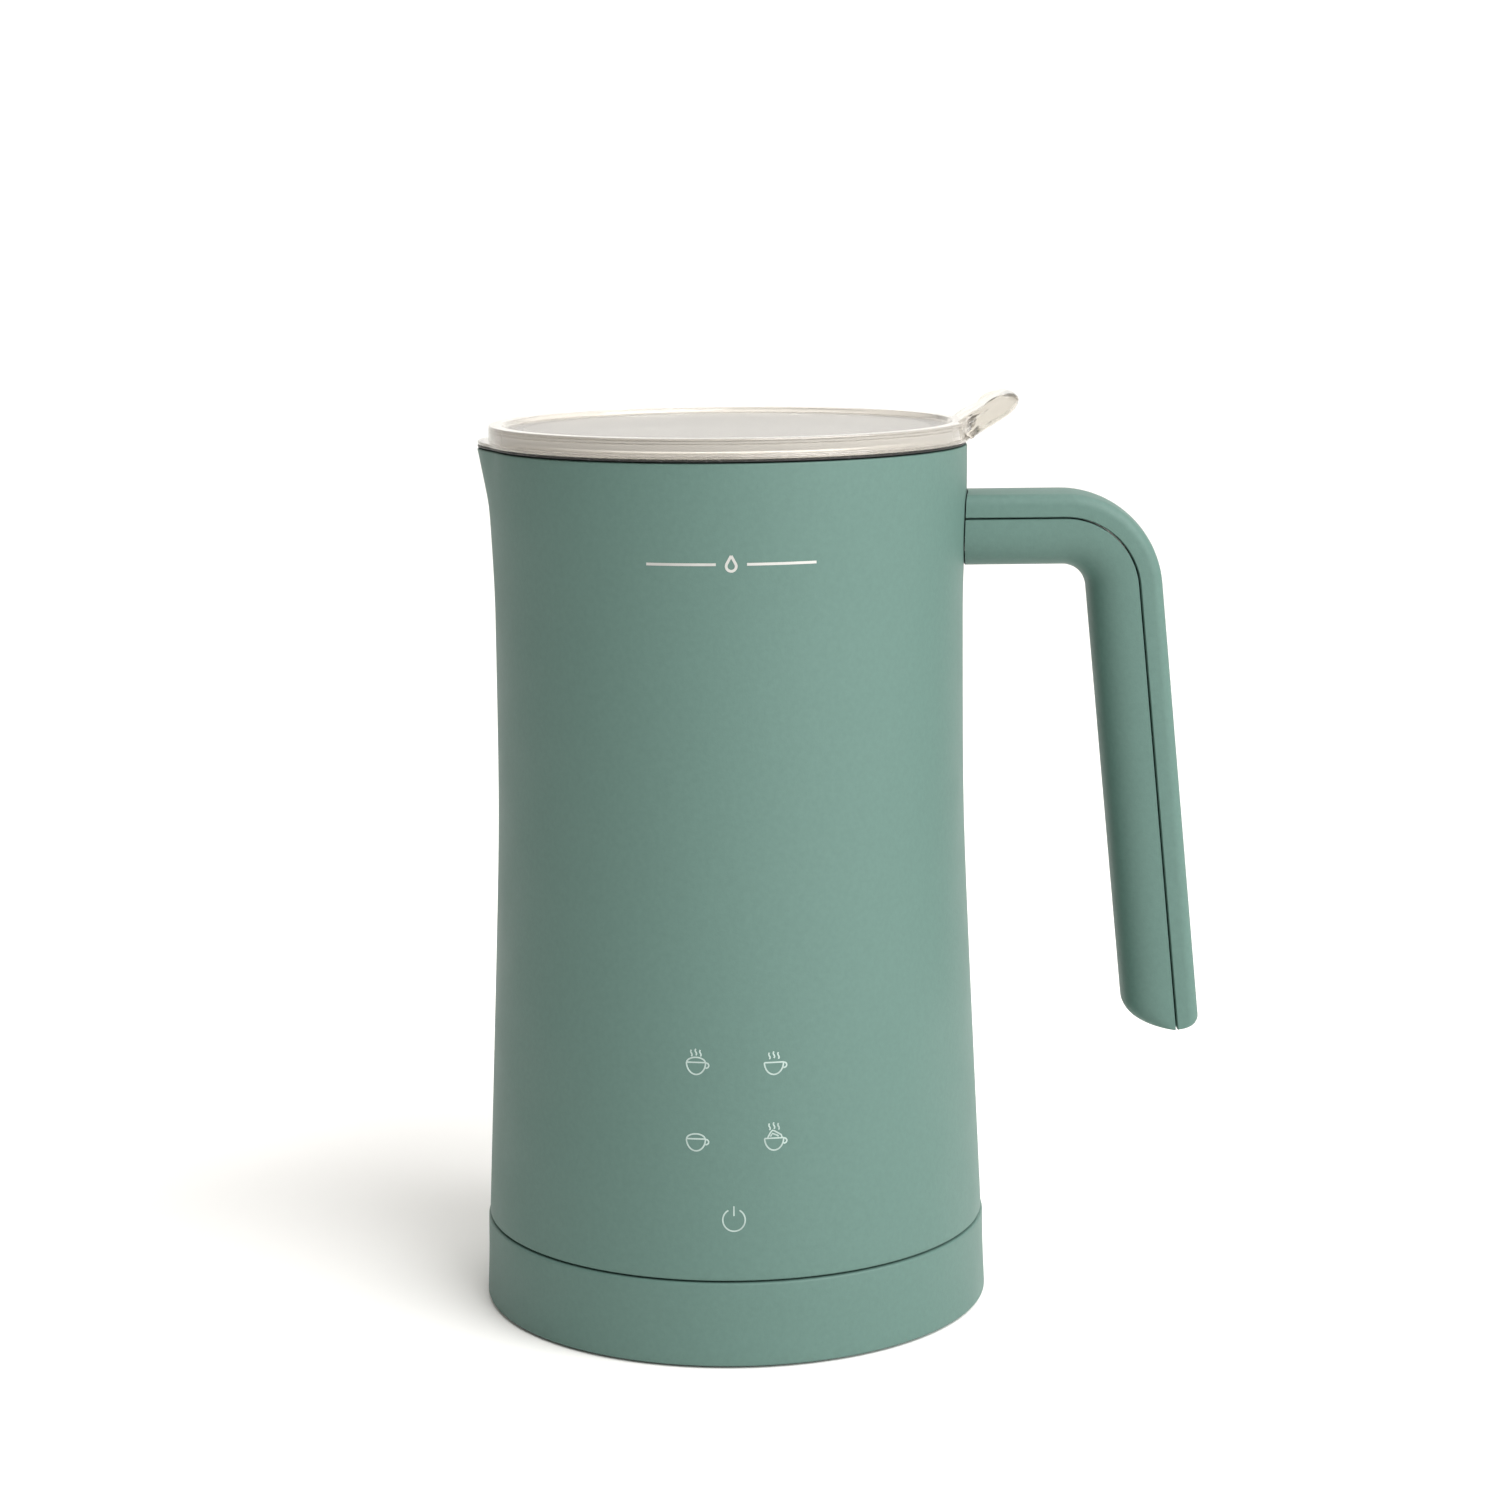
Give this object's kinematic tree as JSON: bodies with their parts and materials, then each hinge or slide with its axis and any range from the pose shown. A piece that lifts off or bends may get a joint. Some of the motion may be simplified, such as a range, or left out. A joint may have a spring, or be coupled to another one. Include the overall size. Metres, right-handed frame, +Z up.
{
  "type": "milk frother",
  "caption": "Green milk frother jug with pouring spout, closed side handle, clear lift-off lid and touch symbols, standing on a round power base.",
  "frame": {"origin": "on the jug's vertical axis, at the surface the base stands on", "axes": "+Z up along the jug's axis, +X towards the handle, -X towards the spout, -Y towards the touch symbols"},
  "size_m": [0.1563, 0.1117, 0.1969],
  "materials": {
    "green_lacquer": "satin, fine grain",
    "pot_coating": "dark non-stick coating",
    "clear_plastic": "clear, faint warm tint",
    "silicone": "soft matte",
    "dark_plastic": "moulded, fine grain",
    "foot_rubber": "matte",
    "steel": "bright",
    "brass": "bright",
    "aluminium": "die cast",
    "board": "solder mask",
    "magnet": "plated"
  },
  "bodies": {
    "base": {"base_shell": "green_lacquer", "base_plate": "dark_plastic", "foot_1": "foot_rubber", "foot_2": "foot_rubber", "foot_3": "foot_rubber", "foot_4": "foot_rubber", "base_screw_1": "steel", "base_screw_2": "steel", "base_screw_3": "steel", "cord_gland": "dark_plastic", "connector_tower": "dark_plastic", "contact_pin": "brass", "contact_ring": "brass"},
    "jug": {"outer_shell": "green_lacquer", "inner_pot": "pot_coating", "pivot_pin": "steel", "bottom_cover": "dark_plastic", "cover_screw_1": "steel", "cover_screw_2": "steel", "cover_screw_3": "steel", "jug_socket": "dark_plastic", "chassis": "dark_plastic", "control_board": "board", "transformer": "dark_plastic", "relay": "dark_plastic", "capacitor": "aluminium", "touch_board": "board", "heater_plate": "aluminium", "heating_element": "steel", "heat_shield": "steel", "temperature_sensor": "steel", "thermal_cutout": "dark_plastic", "motor": "steel", "handle_inner": "green_lacquer", "handle_outer": "green_lacquer", "handle_core": "steel", "handle_screw_1": "steel", "handle_screw_2": "steel"},
    "rotor": {"rotor_shaft": "steel", "rotor_disc": "dark_plastic", "rotor_magnet_1": "magnet", "rotor_magnet_2": "magnet"},
    "whisk": {"whisk_hub": "dark_plastic", "whisk_spring": "steel", "whisk_magnet_1": "magnet", "whisk_magnet_2": "magnet"},
    "lid": {"lid_cover": "clear_plastic", "lid_seal": "silicone"}
  },
  "joints": [
    {"name": "jug_lift", "type": "slide", "parent": "base", "child": "jug", "axis": [0, 0, 1], "range_m": [0, 0.06]},
    {"name": "lid_lift", "type": "slide", "parent": "jug", "child": "lid", "axis": [0, 0, 1], "range_m": [0, 0.05]},
    {"name": "rotor_spin", "type": "hinge", "parent": "jug", "child": "rotor", "pos_m": [0, 0, 0.074], "axis": [0, 0, 1], "continuous": true},
    {"name": "whisk_spin", "type": "hinge", "parent": "jug", "child": "whisk", "pos_m": [0, 0, 0.0865], "axis": [0, 0, 1], "continuous": true}
  ],
  "couplings": [
    {"joint": "rotor_spin", "follows": "whisk_spin", "ratio": 1}
  ]
}
